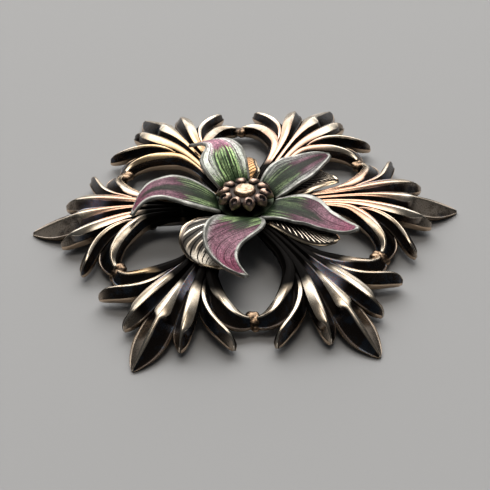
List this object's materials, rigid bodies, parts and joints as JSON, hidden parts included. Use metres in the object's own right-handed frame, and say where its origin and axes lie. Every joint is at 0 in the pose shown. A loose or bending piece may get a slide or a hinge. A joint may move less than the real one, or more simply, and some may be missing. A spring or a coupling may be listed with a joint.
{
  "type": "flower brooch",
  "caption": "Pierced brooch of fluted palmettes round an enamelled flower with engraved calyx leaves and a stamen boss, with a pin behind.",
  "frame": {"origin": "centre of the bottom of the bounding box, on the surface that the brooch rests on", "axes": "+X along the pin, through two opposite palmettes; +Y across it; +Z out of the front, up from the surface"},
  "size_m": [0.048, 0.0418, 0.0067],
  "materials": {
    "frame_silver": "oxidised silver, polished on the ridges and dark in the valleys",
    "calyx_silver": "warm toned silver, engraved",
    "petal_enamel": "translucent enamel, green at the base to mauve at the tip, pale at the margin",
    "stamen_bronze": "pinkish bronze, dark in the hollows",
    "pin_steel": "satin"
  },
  "bodies": {
    "root": {"frame": "frame_silver", "calyx": "calyx_silver", "corolla": "petal_enamel", "stamens": "stamen_bronze", "pin_fitting": "pin_steel"}
  },
  "joints": []
}
